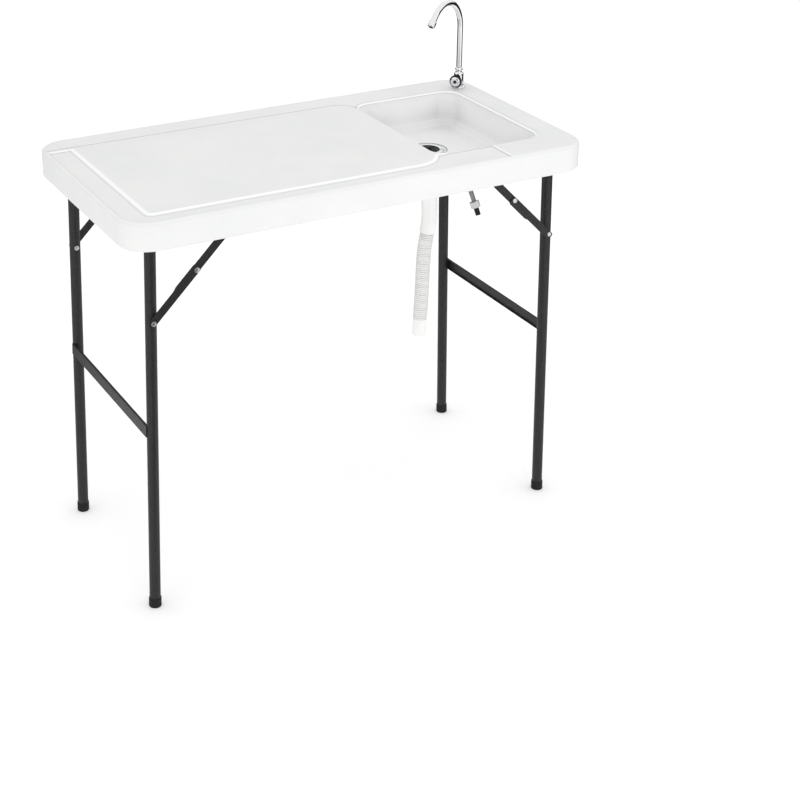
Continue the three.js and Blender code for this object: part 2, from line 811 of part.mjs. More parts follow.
function faucet() {
  const base = new THREE.Group();
  base.position.set(tap.x, tap.y, table.height);
  group.add(base);
  const flangeLow = seatGap;
  const flangeTop = flangeLow + tap.flangeHeight;
  const stemBore = tap.shankRadius + seatGap;
  piece('tap_flange', turned([
    [stemBore, flangeLow], [tap.flangeRadius, flangeLow],
    [tap.flangeRadius, flangeTop - tap.flangeRound],
    [tap.flangeRadius - tap.flangeRound, flangeTop], [stemBore, flangeTop],
  ]), chrome, base);
  const bodyLow = flangeTop + seatGap;
  const bodyTop = bodyLow + tap.bodyHeight;
  const neckTop = bodyTop + tap.neckHeight;
  const bodyBlank = turned([
    [0, -tap.shankBelow], [tap.shankRadius, -tap.shankBelow], [tap.shankRadius, bodyLow],
    [tap.bodyRadius, bodyLow], [tap.bodyRadius, bodyTop], [tap.neckRadius, neckTop], [0, neckTop],
  ]);
  const stemHole = bar(tap.stemRadius + seatGap, 0, 2 * tap.bodyRadius, facets.rod)
    .rotateY(TURN / 4).rotateZ(tap.leverTurn).translate(0, 0, tap.leverHeight);
  piece('tap_body', cut(bodyBlank, stemHole), chrome, base);
  const collarLow = neckTop + seatGap;
  const collarTop = collarLow + tap.collarHeight;
  const bore = tap.collarBore;
  const half = tap.collarHeight / 2;
  piece('tap_collar_nut', turned([
    [bore, collarLow], [tap.neckRadius, collarLow], [tap.collarRadius, collarLow + half / 2],
    [tap.collarRadius, collarLow + half], [tap.spoutRadius, collarTop], [bore, collarTop],
  ]), chrome, base);
  const swivel = new THREE.Group();
  swivel.position.z = collarTop + seatGap;
  swivel.rotation.z = tap.spoutTurn;
  base.add(swivel);
  const { points, away, tip } = spoutRoute();
  const radii = points.map(() => tap.spoutRadius);
  const bores = points.map(() => tap.spoutRadius - tap.spoutWall);
  piece('tap_spout', ringTube(points, radii, bores, facets.rod), chrome, swivel);
  const aerator = piece('tap_aerator', turned([
    [0, seatGap], [tap.aeratorRadius, seatGap],
    [tap.aeratorRadius, tap.aeratorLength - tap.flangeRound],
    [tap.aeratorRadius - tap.flangeRound, tap.aeratorLength], [0, tap.aeratorLength],
  ]), chrome, swivel);
  aerator.position.copy(tip);
  aerator.quaternion.setFromUnitVectors(new THREE.Vector3(0, 0, 1), away);
  tapLever(base);
  tapFixings(base);
}

// The lever turns on a hub that faces the user
function tapLever(base) {
  const side = new THREE.Group();
  side.position.z = tap.leverHeight;
  side.rotation.z = tap.leverTurn;
  base.add(side);
  const turn = new THREE.Group();
  turn.rotation.y = TURN / 4;
  side.add(turn);
  const hubLow = tap.bodyRadius + seatGap;
  const hubTop = hubLow + tap.hubLength;
  piece('tap_lever_hub', turned([
    [0, tap.stemLength], [tap.stemRadius, tap.stemLength], [tap.stemRadius, hubLow],
    [tap.hubRadius, hubLow], [tap.hubRadius, hubTop], [0, hubTop],
  ]), chrome, turn);
  const leverLow = hubTop + seatGap;
  const shape = new THREE.Shape();
  const spread = Math.acos((tap.leverRadius - tap.leverTip) / tap.leverReach);
  shape.absarc(0, 0, tap.leverRadius, spread, TURN - spread, false);
  shape.absarc(tap.leverReach, 0, tap.leverTip, -spread, spread, false);
  shape.closePath();
  const lever = piece('tap_lever', prism(shape, tap.leverThick), capBlack, turn);
  lever.position.z = leverLow;
  lever.rotation.z = tap.leverLean;
  const capLow = leverLow + tap.leverThick + seatGap;
  piece('tap_lever_cap', turned([
    [0, capLow], [tap.capRadius, capLow], [tap.capRadius, capLow + tap.capThick / 2],
    [tap.capRadius * 2 / 3, capLow + tap.capThick], [0, capLow + tap.capThick],
  ]), chrome, turn);
}

// Washer and nut under the deck, and the supply hose on the shank
function tapFixings(base) {
  const deck = -table.slab - seatGap;
  const bore = tap.shankRadius + seatGap;
  piece('tap_washer', tube(tap.washerRadius, tap.washerRadius - bore, deck - tap.washerThick, deck),
    steelBright, base);
  const nutTop = deck - tap.washerThick - seatGap;
  piece('tap_mounting_nut', hexNut(tap.nutAcross, bore, nutTop - tap.nutHeight, nutTop),
    steelBright, base);
  const low = -tap.shankBelow - supply.couplingHeight + supply.couplingUp;
  const top = low + supply.couplingHeight;
  const coupling = hexNut(supply.couplingAcross, supply.radius + seatGap, low, top)
    .subtract(solid(bar(bore, -tap.shankBelow - seatGap, top + overrun)));
  piece('supply_coupling_nut', coupling, steelBright, base);
}

// Supply hose route, from the coupling nut to its free end
const supplyStart = new THREE.Vector3(
  tap.x, tap.y,
  table.height - tap.shankBelow + supply.couplingUp - supply.couplingHeight + supply.seat,
);
const supplyRun = [
  [0, 0, 0], [0, 0, -20], [1, -2, -48], [4, -9, -94], [9, -21, -142], [17, -36.5, -188], [25.5, -52, -232],
];

function supplyHose() {
  const route = supplyRun.map((step) => supplyStart.clone().add(new THREE.Vector3(...step)));
  const curve = new THREE.CatmullRomCurve3(route);
  const points = curve.getSpacedPoints(facets.supplyRings);
  piece('supply_hose', ringTube(points, points.map(() => supply.radius), [], facets.hose), braid);
  const end = points.at(-1);
  const along = end.clone().sub(points.at(-2)).normalize();
  const turn = new THREE.Quaternion().setFromUnitVectors(new THREE.Vector3(0, 0, 1), along);
  const nutLow = seatGap;
  const nutTop = nutLow + supply.nutHeight;
  const nut = piece('supply_end_nut', hexNut(supply.nutAcross, supply.connectorTip + seatGap,
    nutLow, nutTop), steelBright);
  const tip = nutTop + seatGap;
  const connector = piece('supply_connector', turned([
    [0, nutLow], [supply.connectorTip, nutLow], [supply.connectorTip, tip],
    [supply.connectorRadius, tip], [supply.connectorRadius, tip + supply.connectorLength],
    [0, tip + supply.connectorLength],
  ], facets.rod), capBlack);
  for (const mesh of [nut, connector]) {
    mesh.position.copy(end);
    mesh.quaternion.copy(turn);
  }
}

// Drain: a body with its flange, neck and tail, and the strainer, gasket and nut
function drainParts() {
  const base = new THREE.Group();
  base.position.set(drain.x, drain.y, bowl.floorZ - drain.recessDepth);
  group.add(base);
  const low = seatGap;
  const top = low + drain.flangeThick;
  const neckIn = drain.neckRadius - drain.neckWall;
  const neckLow = -drain.neckLength;
  const coneLow = neckLow - drain.coneLength;
  const tailLow = coneLow - drain.tailLength;
  const tailIn = drain.tailRadius - drain.tailWall;
  piece('drain_body', turned([
    [drain.neckRadius - seatGap, low], [drain.flangeRadius, low], [drain.flangeRadius, top],
    [drain.flangeInner, top], [neckIn, low - drain.neckDrop],
    [neckIn, neckLow + drain.neckWall], [tailIn, coneLow + drain.neckWall],
    [tailIn, tailLow], [drain.tailRadius, tailLow],
    [drain.tailRadius, coneLow], [drain.neckRadius - seatGap, neckLow],
  ], facets.drain), chrome, base);
  const gridLow = top + seatGap;
  const holes = [];
  for (const [ring, count] of [
    [drain.gridRing, counts.gridHoles], [drain.gridInnerRing, counts.gridInnerHoles],
  ]) {
    for (let i = 0; i < count; i += 1) {
      const angle = TURN * i / count;
      holes.push(bar(drain.gridHole, gridLow - overrun, gridLow + overrun, facets.pin)
        .translate(ring * Math.cos(angle), ring * Math.sin(angle), 0));
    }
  }
  piece('drain_strainer', cut(turned([
    [0, gridLow], [drain.gridRadius, gridLow], [drain.gridRadius, gridLow + drain.gridThick / 2],
    [drain.gridRadius - drain.gridThick, gridLow + drain.gridThick],
    [drain.gridKnob, gridLow + drain.gridThick], [drain.gridKnob, gridLow + drain.gridKnobHeight],
    [0, gridLow + drain.gridKnobHeight],
  ]), ...holes), capBlack, base);
  const under = bowl.underZ - bowl.floorZ + drain.recessDepth - seatGap;
  const bore = drain.neckRadius + seatGap;
  piece('drain_gasket', tube(drain.gasketRadius, drain.gasketRadius - bore,
    under - drain.gasketThick, under), capBlack, base);
  const nutTop = under - drain.gasketThick - seatGap;
  piece('drain_lock_nut', lockNut(bore, nutTop), plasticWhite, base);
  drainHose(base.position.z + tailLow);
}

// A round plastic nut with finger lugs
function lockNut(bore, top) {
  const low = top - drain.nutHeight;
  let nut = solid(bar(drain.nutRadius - drain.nutLug, low, top));
  for (let i = 0; i < counts.nutLugs; i += 1) {
    const lug = box(2 * drain.nutLug, 2 * drain.nutLug, drain.nutHeight,
      drain.nutRadius - drain.nutLug, 0, low + drain.nutHeight / 2)
      .rotateZ(TURN * i / counts.nutLugs);
    nut = nut.add(solid(lug));
  }
  return nut.subtract(solid(bar(bore, low - overrun, top + overrun)));
}

// Drain hose: a smooth cuff over the tail, a ribbed run and a smooth end
const hoseRun = [
  [0, 0], [0, -20], [0.6, -40], [6.5, -84], [7.5, -130], [2.5, -168], [-3.5, -200], [-7, -250],
  [-8.5, -310], [-10.5, -360], [-12.8, -402], [-14.5, -439],
];

function drainHose(tailLow) {
  const top = tailLow + drain.hoseLap;
  const curve = new THREE.CatmullRomCurve3(hoseRun.map(([x, z]) => new THREE.Vector3(
    drain.x + x, drain.y, top + z,
  )));
  const length = curve.getLength();
  const ribbed = length - hose.topCuff - hose.bottomCuff;
  const ribs = Math.round(ribbed / hose.ribPitch);
  const points = [];
  const radii = [];
  const bores = [];
  const add = (at, radius, bore) => {
    points.push(curve.getPointAt(Math.min(1, at / length)));
    radii.push(radius);
    bores.push(bore);
  };
  const cuffRings = Math.ceil(hose.topCuff / (2 * hose.radius));
  for (let i = 0; i <= cuffRings; i += 1) {
    add(hose.topCuff * i / cuffRings, hose.cuffRadius, hose.cuffBore);
  }
  for (let i = 0; i < ribs; i += 1) {
    const start = hose.topCuff + ribbed * i / ribs;
    add(start + hose.ribPitch / 4, hose.valley, i % 5 ? 0 : hose.bore);
    add(start + hose.ribPitch * 3 / 4, hose.radius, 0);
  }
  const cuffStart = length - hose.bottomCuff;
  add(cuffStart + hose.ribPitch, hose.valley, hose.bore);
  add(cuffStart + 2 * hose.ribPitch, hose.endRadius, 0);
  add(length, hose.endRadius, hose.bore);
  piece('drain_hose', ringTube(points, radii, bores, facets.ribbed), hoseWhite);
}

const ends = [
  { name: 'panel_end', side: -1, shift: -frame.shift },
  { name: 'sink_end', side: 1, shift: frame.shift },
];

tabletop();
for (const end of ends) {
  legFrame(end);
  for (const side of [-1, 1]) {
    cornerRail(end, side);
    kneeBrace(end, side);
  }
}
centreRail(-1);
centreRail(1);
faucet();
supplyHose();
drainParts();

export default group;
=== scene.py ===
"""Folding camping sink stand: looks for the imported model, in metres, in the model's own frame."""

import json
import math

import bpy
from mathutils import Matrix, Vector


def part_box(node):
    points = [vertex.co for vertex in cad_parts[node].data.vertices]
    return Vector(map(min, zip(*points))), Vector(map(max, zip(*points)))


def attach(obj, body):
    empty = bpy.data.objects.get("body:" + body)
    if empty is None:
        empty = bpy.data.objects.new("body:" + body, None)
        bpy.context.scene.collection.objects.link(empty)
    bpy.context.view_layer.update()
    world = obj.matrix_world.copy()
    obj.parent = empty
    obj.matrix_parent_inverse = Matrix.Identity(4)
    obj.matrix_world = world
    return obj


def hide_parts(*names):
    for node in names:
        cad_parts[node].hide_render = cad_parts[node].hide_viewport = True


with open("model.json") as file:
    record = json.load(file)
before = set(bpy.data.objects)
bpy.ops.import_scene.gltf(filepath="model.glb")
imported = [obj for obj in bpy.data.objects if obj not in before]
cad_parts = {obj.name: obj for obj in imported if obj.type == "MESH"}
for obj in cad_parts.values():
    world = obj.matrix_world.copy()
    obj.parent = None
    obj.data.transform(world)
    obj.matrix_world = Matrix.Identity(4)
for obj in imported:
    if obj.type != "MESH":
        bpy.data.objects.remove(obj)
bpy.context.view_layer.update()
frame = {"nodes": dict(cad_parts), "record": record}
NODES = frame["nodes"]

TURN = 2 * math.pi
MM = 0.001
UP = Vector((0, 0, 1))
ENDS = {"panel_end": -1, "sink_end": 1}
SIDES = {"front": -1, "back": 1}


def add_object(name, data):
    obj = bpy.data.objects.new(name, data)
    bpy.context.scene.collection.objects.link(obj)
    return obj


def middle(node):
    """Middle of a CAD node's box, as three plain numbers."""
    low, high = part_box(node)
    return [(a + b) / 2 for a, b in zip(low, high)]


def level(angle):
    """Level direction at an angle from the X axis."""
    return Vector((math.cos(angle), math.sin(angle), 0))


# Camera, fitted to the photograph
PHOTO_WIDTH = 800
CAMERA = {
    "place": (-1.7387, -3.3596, 2.2643),
    "yaw": math.radians(27.62),
    "pitch": math.radians(21.17),
    "roll": math.radians(0.10),
    "focal_px": 1738.35,
    "sensor_mm": 36,
    "shift": (0.1001, -0.2475),
}


def add_camera():
    yaw, pitch, roll = CAMERA["yaw"], CAMERA["pitch"], CAMERA["roll"]
    forward = Vector((
        math.sin(yaw) * math.cos(pitch), math.cos(yaw) * math.cos(pitch), -math.sin(pitch),
    ))
    across = Vector((math.cos(yaw), -math.sin(yaw), 0))
    rise = across.cross(forward)
    right = math.cos(roll) * across + math.sin(roll) * rise
    up = -math.sin(roll) * across + math.cos(roll) * rise
    data = bpy.data.cameras.new("camera")
    data.sensor_fit = "HORIZONTAL"
    data.sensor_width = CAMERA["sensor_mm"]
    data.lens = CAMERA["focal_px"] / PHOTO_WIDTH * CAMERA["sensor_mm"]
    data.shift_x, data.shift_y = CAMERA["shift"]
    camera = add_object("camera", data)
    turn = Matrix((right, up, -forward)).transposed().to_4x4()
    camera.matrix_world = Matrix.Translation(CAMERA["place"]) @ turn
    bpy.context.scene.camera = camera


# Materials
MASK_SAMPLES = {"nearness": 8, "edges": 6}
# Cosines of the rounded normal's turn where an edge starts to show and where it shows fully
EDGE_COSINES = (0.997, 0.989)


class Graph:
    """A node material with short calls for its nodes and links."""

    def __init__(self, name, color, roughness, metallic=0.0):
        self.material = bpy.data.materials.new(name)
        self.material.use_nodes = True
        self.tree = self.material.node_tree
        self.shader = self.tree.nodes["Principled BSDF"]
        self.shader.inputs["Base Color"].default_value = (*color, 1)
        self.shader.inputs["Roughness"].default_value = roughness
        self.shader.inputs["Metallic"].default_value = metallic
        self.place = self.tree.nodes.new("ShaderNodeTexCoord").outputs["Object"]

    def set(self, **values):
        for name, value in values.items():
            self.shader.inputs[name.replace("_", " ")].default_value = value

    def node(self, kind, inputs, **settings):
        node = self.tree.nodes.new("ShaderNode" + kind)
        for key, value in settings.items():
            setattr(node, key, value)
        for key, value in inputs.items():
            if isinstance(value, bpy.types.NodeSocket):
                self.tree.links.new(value, node.inputs[key])
            else:
                node.inputs[key].default_value = value
        return node

    def noise(self, scale, detail=3.0, roughness=0.5, vector=None):
        inputs = {"Scale": scale, "Detail": detail, "Roughness": roughness,
                  "Vector": vector or self.place}
        return self.node("TexNoise", inputs).outputs["Fac"]

    def cells(self, scale):
        inputs = {"Scale": scale, "Vector": self.place}
        return self.node("TexVoronoi", inputs, feature="SMOOTH_F1").outputs["Distance"]

    def stretch(self, scale):
        return self.node("Mapping", {"Vector": self.place, "Scale": scale}).outputs["Vector"]

    def split(self, vector):
        return self.node("SeparateXYZ", {"Vector": vector}).outputs

    def math(self, operation, a, b=0.0, c=0.0):
        return self.node("Math", {0: a, 1: b, 2: c}, operation=operation).outputs[0]

    def product(self, first, *others):
        for other in others:
            first = self.math("MULTIPLY", first, other)
        return first

    def remap(self, value, low, high, start=0.0, end=1.0):
        """Low to high as the value goes from start to end."""
        inputs = {"Value": value, 1: start, 2: end, 3: low, 4: high}
        return self.node("MapRange", inputs).outputs[0]

    def fade_in(self, value, start, end):
        return self.remap(value, 0.0, 1.0, start, end)

    def fade_out(self, value, start, end):
        return self.remap(value, 1.0, 0.0, start, end)

    def mix(self, factor, a, b):
        a, b = [c if isinstance(c, bpy.types.NodeSocket) else (*c, 1) for c in (a, b)]
        return self.node("Mix", {0: factor, 6: a, 7: b}, data_type="RGBA").outputs[2]

    def color(self, socket):
        self.tree.links.new(socket, self.shader.inputs["Base Color"])

    def rough(self, socket):
        self.tree.links.new(socket, self.shader.inputs["Roughness"])

    def nearness(self, distance):
        """From 0 on open faces to 1 where the piece's own faces close in within a distance."""
        node = self.node("AmbientOcclusion", {"Distance": distance},
                         samples=MASK_SAMPLES["nearness"], only_local=True)
        return self.math("SUBTRACT", 1.0, node.outputs["AO"])

    def edges(self, width):
        """One along edges that turn by more than about 15 degrees, and the face's direction."""
        flat = self.node("NewGeometry", {}).outputs["True Normal"]
        turned = self.node("Bevel", {"Radius": width},
                           samples=MASK_SAMPLES["edges"]).outputs["Normal"]
        cosine = self.node("VectorMath", {0: flat, 1: turned}, operation="DOT_PRODUCT")
        return self.fade_in(cosine.outputs["Value"], *EDGE_COSINES), flat

    def bump(self, height, distance, strength):
        """Relief on top of what the shader already has."""
        inputs = {"Height": height, "Distance": distance, "Strength": strength}
        for link in self.shader.inputs["Normal"].links:
            inputs["Normal"] = link.from_socket
        node = self.node("Bump", inputs)
        self.tree.links.new(node.outputs["Normal"], self.shader.inputs["Normal"])


def grey(value):
    return (value, value, value)


# Outlines seen from above, as centre, half sizes and corner radius
TOP = ((0, 0), (571.5 * MM, 292 * MM), 66 * MM)
BOWL = ((357 * MM, 0), (141 * MM, 200.5 * MM), 38 * MM)

# Masks on the tabletop: a pair is where a fade starts and ends, most is how much tone shows
# The line round the bowl is a groove with painted shade in it.
BOWL_LINE = {"off": 8.5 * MM, "half_width": 1.7 * MM, "height": (0.930, 0.934),
             "front": (-186 * MM, -170 * MM), "left": (207 * MM, 215 * MM), "most": 0.7}
# The tone on the panel's rounded rim is a painted highlight.
PANEL_RIM_HIGHLIGHT = {"height": (0.9362, 0.9382), "slope_in": (0.30, 0.60), "slope_out": (0.970, 0.990),
             "most": 0.9}
# Painted shade along the foot of the panel's rim.
PANEL_FOOT_SHADE = {"height_in": (0.9300, 0.9310), "height_out": (0.9368, 0.9380), "most": 0.6}
OUTER_EDGE = (-12 * MM, -8 * MM)
BASIN_EDGE = (-4 * MM, 0.0)
EDGE_WIDTH = 5 * MM
# Painted shade in the bowl's corners.
BOWL_CORNER_SHADE = {"reach": 0.12, "fade": (0.26, 0.76)}
# Painted shade in the creases.
CREASE_SHADE = {"reach": 0.030, "most": 0.6, "fade": (0.0, 0.6)}
# Tones: painted light over the bowl, a painted highlight on the panel's rim, and painted shade in
# the bowl's corners, the creases, the rim's foot and the bowl's line.
WHITE = {"cool": (0.783, 0.787, 0.789), "warm": (0.812, 0.812, 0.808), "bowl": grey(0.85),
         "bowl_corner_shade": grey(0.40), "crease_shade": grey(0.56), "rim": grey(0.97),
         "foot": grey(0.46), "line": grey(0.50)}


def outside(g, place, outline):
    """Distance from a rounded rectangle seen from above, below zero inside it."""
    centres, halves, corner = outline
    sides = []
    for axis, centre, half in zip("XY", centres, halves):
        offset = g.math("ABSOLUTE", g.math("SUBTRACT", place[axis], centre))
        sides.append(g.math("SUBTRACT", offset, half - corner))
    clear = [g.math("MAXIMUM", side, 0.0) for side in sides]
    round_part = g.math("SQRT", g.math("ADD", *[g.math("MULTIPLY", c, c) for c in clear]))
    flat_part = g.math("MINIMUM", g.math("MAXIMUM", *sides), 0.0)
    return g.math("SUBTRACT", g.math("ADD", round_part, flat_part), corner)


def bowl_line(g, place, from_bowl):
    """One in a narrow line that runs round the bowl at the back and the right, where a groove gets
    painted shade.
    """
    away = g.math("ABSOLUTE", g.math("SUBTRACT", from_bowl, BOWL_LINE["off"]))
    return g.product(g.fade_out(away, 0.0, BOWL_LINE["half_width"]),
                     g.fade_in(place["Z"], *BOWL_LINE["height"]),
                     g.fade_in(place["Y"], *BOWL_LINE["front"]),
                     g.fade_in(place["X"], *BOWL_LINE["left"]))


def panel_edges(g, place):
    """Masks of the painted highlight on the work panel's rounded rim and of the painted shade along
    the gutter's edge at its foot.
    """
    inner = g.remap(outside(g, place, TOP), 1.0, 0.15, *OUTER_EDGE)
    edge, normal = g.edges(EDGE_WIDTH)
    slope = g.split(normal)["Z"]
    rim = g.product(g.fade_in(slope, *PANEL_RIM_HIGHLIGHT["slope_in"]),
                    g.fade_out(slope, *PANEL_RIM_HIGHLIGHT["slope_out"]),
                    g.fade_in(place["Z"], *PANEL_RIM_HIGHLIGHT["height"]), inner, PANEL_RIM_HIGHLIGHT["most"])
    # Painted shade along the gutter's edge at the foot of the rim.
    foot = g.product(g.fade_in(place["Z"], *PANEL_FOOT_SHADE["height_in"]),
                     g.fade_out(place["Z"], *PANEL_FOOT_SHADE["height_out"]), edge, inner,
                     PANEL_FOOT_SHADE["most"])
    return rim, foot


def moulded_white():
    """Blow-moulded plastic, with a painted highlight on the panel's rim and painted shade at its
    foot, in creases, in the bowl's corners and in the bowl's line; the bowl is painted lighter.
    """
    g = Graph("moulded_white", grey(0.78), 0.42)
    place = g.split(g.place)
    # Painted highlight on the panel's rounded rim, and painted shade at its foot.
    rim, foot = panel_edges(g, place)
    from_bowl = outside(g, place, BOWL)
    # Painted shade in the groove of the line round the bowl.
    line = bowl_line(g, place, from_bowl)
    # Painted light: inside the bowl the same plastic is made lighter.
    basin = g.fade_out(from_bowl, *BASIN_EDGE)
    # Painted shade in the bowl's corners, where its faces close in.
    corner = g.product(g.fade_in(g.nearness(BOWL_CORNER_SHADE["reach"]), *BOWL_CORNER_SHADE["fade"]), basin)
    # Painted shade in creases, where the faces close in within a few centimetres.
    crease_shade = g.remap(g.nearness(CREASE_SHADE["reach"]), 0.0, CREASE_SHADE["most"], *CREASE_SHADE["fade"])
    base = g.mix(g.fade_in(g.noise(7, detail=2), 0.35, 0.65), WHITE["cool"], WHITE["warm"])
    for mask, tone in ((basin, "bowl"), (corner, "bowl_corner_shade"), (crease_shade, "crease_shade"),
                       (rim, "rim"), (foot, "foot"),
                       (g.product(line, BOWL_LINE["most"]), "line")):
        base = g.mix(mask, base, WHITE[tone])
    g.color(base)
    g.rough(g.remap(g.noise(55), 0.38, 0.52, 0.3, 0.7))
    g.bump(g.noise(900, detail=4, roughness=0.6), distance=0.0002, strength=0.5)
    g.bump(g.noise(24, detail=2), distance=0.0008, strength=0.25)
    g.bump(g.product(line, -1.0), distance=0.0012, strength=0.7)
    g.set(Specular_IOR_Level=0.42, Subsurface_Weight=0.06, Subsurface_Scale=0.004)
    return g.material


def hammered_steel():
    """Dark coating with the small round cells of a hammered finish."""
    dark, light = (0.008, 0.008, 0.009), (0.022, 0.022, 0.024)
    g = Graph("hammered_steel", light, 0.45)
    cells = g.cells(260)
    blotch = g.noise(420)
    g.color(g.mix(g.fade_in(cells, 0.0, 0.6), dark, light))
    g.rough(g.remap(blotch, 0.34, 0.56, 0.3, 0.7))
    g.bump(cells, distance=0.0006, strength=0.4)
    g.bump(blotch, distance=0.0003, strength=0.3)
    g.set(Specular_IOR_Level=0.3)
    return g.material


def plated_steel():
    g = Graph("plated_steel", (0.62, 0.63, 0.64), 0.32, 1.0)
    brushed = g.noise(300, detail=4, roughness=0.6, vector=g.stretch((1, 1, 8)))
    g.color(g.mix(brushed, (0.55, 0.56, 0.57), grey(0.70)))
    g.rough(g.remap(brushed, 0.22, 0.42))
    g.bump(brushed, distance=0.0001, strength=0.4)
    return g.material


def chrome():
    g = Graph("polished_chrome", (0.83, 0.84, 0.85), 0.06, 1.0)
    haze = g.noise(90)
    g.color(g.mix(haze, (0.80, 0.81, 0.83), (0.86, 0.86, 0.87)))
    g.rough(g.remap(haze, 0.04, 0.11, 0.35, 0.7))
    g.bump(g.noise(40, detail=2), distance=0.0002, strength=0.15)
    return g.material


def black_plastic(name, roughness, grain):
    g = Graph(name, (0.018, 0.018, 0.019), roughness)
    fine = g.noise(grain, roughness=0.6)
    g.color(g.mix(fine, (0.008, 0.008, 0.009), (0.020, 0.020, 0.021)))
    g.rough(g.remap(fine, roughness - 0.06, roughness + 0.12, 0.3, 0.7))
    g.bump(fine, distance=0.0002, strength=0.4)
    g.set(Specular_IOR_Level=0.2)
    return g.material


def hose_white():
    """Soft plastic, with painted shade between the ribs."""
    g = Graph("hose_white", (0.82, 0.82, 0.81), 0.36)
    base = g.mix(g.noise(35), (0.86, 0.86, 0.85), (0.92, 0.92, 0.91))
    # Painted shade between the ribs, where the hose's faces close in.
    g.color(g.mix(g.fade_in(g.nearness(5 * MM), 0.10, 0.55), base, grey(0.47)))
    g.rough(g.remap(g.noise(140), 0.30, 0.44, 0.3, 0.7))
    g.bump(g.noise(260, detail=2), distance=0.0002, strength=0.3)
    return g.material


BRAID_UV = "run"
BRAID_TURNS = 12
BRAID_PER_METRE = 150


def wire_braid():
    """Crossed wire bundles, laid out on the tube's own UV map: round it and along it in metres."""
    g = Graph("wire_braid", (0.55, 0.56, 0.57), 0.3, 1.0)
    run = g.split(g.node("UVMap", {}, uv_map=BRAID_UV).outputs["UV"])
    waves = []
    for turns in (BRAID_TURNS, -BRAID_TURNS):
        along = g.math("MULTIPLY", run["Y"], BRAID_PER_METRE)
        phase = g.math("MULTIPLY_ADD", run["X"], turns, along)
        waves.append(g.math("ABSOLUTE", g.math("SINE", g.math("MULTIPLY", phase, math.pi))))
    height = g.product(*waves)
    g.color(g.mix(height, (0.10, 0.10, 0.11), (0.66, 0.67, 0.68)))
    g.rough(g.remap(height, 0.5, 0.22))
    g.bump(height, distance=0.0008, strength=0.9)
    return g.material


MATERIALS = {
    "white_plastic": moulded_white(),
    "coated_steel": hammered_steel(),
    "bright_steel": plated_steel(),
    "chrome": chrome(),
    "black_plastic": black_plastic("black_plastic", 0.42, 700),
    "black_rubber": black_plastic("black_rubber", 0.62, 450),
    "braided_steel": wire_braid(),
    "hose_plastic": hose_white(),
}
SLOT_OF = {entry["node"]: entry["material_slot"] for entry in frame["record"]["subparts"]}


# Mesh helpers
ON_AXIS = 1e-6
CURVE_STEPS = 24


def soften(mesh, degrees):
    """Smooth shading, with edges that turn by more than an angle left sharp."""
    mesh.polygons.foreach_set("use_smooth", [True] * len(mesh.polygons))
    mesh.set_sharp_from_angle(angle=math.radians(degrees))


def mesh_object(name, vertices, faces, slot, body, smooth=40):
    mesh = bpy.data.meshes.new(name)
    mesh.from_pydata(vertices, [], faces)
    mesh.update()
    soften(mesh, smooth)
    mesh.materials.append(MATERIALS[slot])
    obj = add_object(name, mesh)
    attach(obj, body)
    return obj


def ring_tube(points, radii, sides, bores=None):
    """Rings square to a run of points. With bores they go back inside it to the first ring."""
    rings, inner = [], []
    last = len(points) - 1
    side = Vector((0, 1, 0))
    for i, point in enumerate(points):
        along = (points[min(last, i + 1)] - points[max(0, i - 1)]).normalized()
        side = (side - along * side.dot(along)).normalized()
        across = along.cross(side)
        spokes = [side * math.cos(TURN * k / sides) + across * math.sin(TURN * k / sides)
                  for k in range(sides)]
        rings.append([point + spoke * radii[i] for spoke in spokes])
        if bores:
            inner.append([point + spoke * bores[i] for spoke in spokes])
    if inner:
        rings += inner[::-1] + [rings[0]]
    return rings


def skin(rings):
    """Vertices and faces over rings of equal counts, with capped ends unless they are a loop."""
    sides = len(rings[0])
    loop = rings[-1] is rings[0]
    count = len(rings) - 1 if loop else len(rings)
    vertices = [p for ring in rings[:count] for p in ring]
    faces = []
    for i in range(len(rings) - 1):
        a = i * sides
        b = (i + 1) % count * sides
        for k in range(sides):
            n = (k + 1) % sides
            faces.append((a + k, a + n, b + n, b + k))
    if not loop:
        last = (count - 1) * sides
        faces.append(tuple(reversed(range(sides))))
        faces.append(tuple(range(last, last + sides)))
    return vertices, faces


def lathe(name, profile, slot, body, place, sides=48, smooth=40):
    """A turned piece. Profile pairs are radius and height in millimetres, and close up."""
    vertices, faces, rows = [], [], []
    for r, z in [(r * MM, z * MM) for r, z in profile]:
        if r < ON_AXIS:
            rows.append([len(vertices)])
            vertices.append(place @ Vector((0, 0, z)))
        else:
            rows.append(list(range(len(vertices), len(vertices) + sides)))
            vertices += [place @ Vector((r * math.cos(TURN * k / sides),
                                         r * math.sin(TURN * k / sides), z))
                         for k in range(sides)]
    pairs = list(zip(rows, rows[1:]))
    if len(rows[0]) > 1 and len(rows[-1]) > 1:
        pairs.append((rows[-1], rows[0]))
    for a, b in pairs:
        for k in range(sides):
            n = (k + 1) % sides
            corners = (a[k % len(a)], a[n % len(a)], b[n % len(b)], b[k % len(b)])
            face = tuple(dict.fromkeys(corners))
            if len(face) > 2:
                faces.append(face)
    return mesh_object(name, vertices, faces, slot, body, smooth)


def dome(radius, base, height, steps=5):
    """Profile points of a shallow dome from its rim to its top."""
    angles = [TURN / 4 * i / steps for i in range(steps + 1)]
    return [(radius * math.cos(a), base + height * math.sin(a)) for a in angles]


def teardrop(big, reach, small, steps=22):
    """Outline points and their outward normals round two joined circles."""
    spread = math.acos((big - small) / reach)
    result = []
    for centre, radius, start, end in ((0, big, spread, TURN - spread),
                                       (reach, small, -spread, spread)):
        for i in range(steps + 1):
            a = start + (end - start) * i / steps
            n = Vector((math.cos(a), math.sin(a)))
            result.append((Vector((centre + radius * n.x, radius * n.y)), n))
    return result


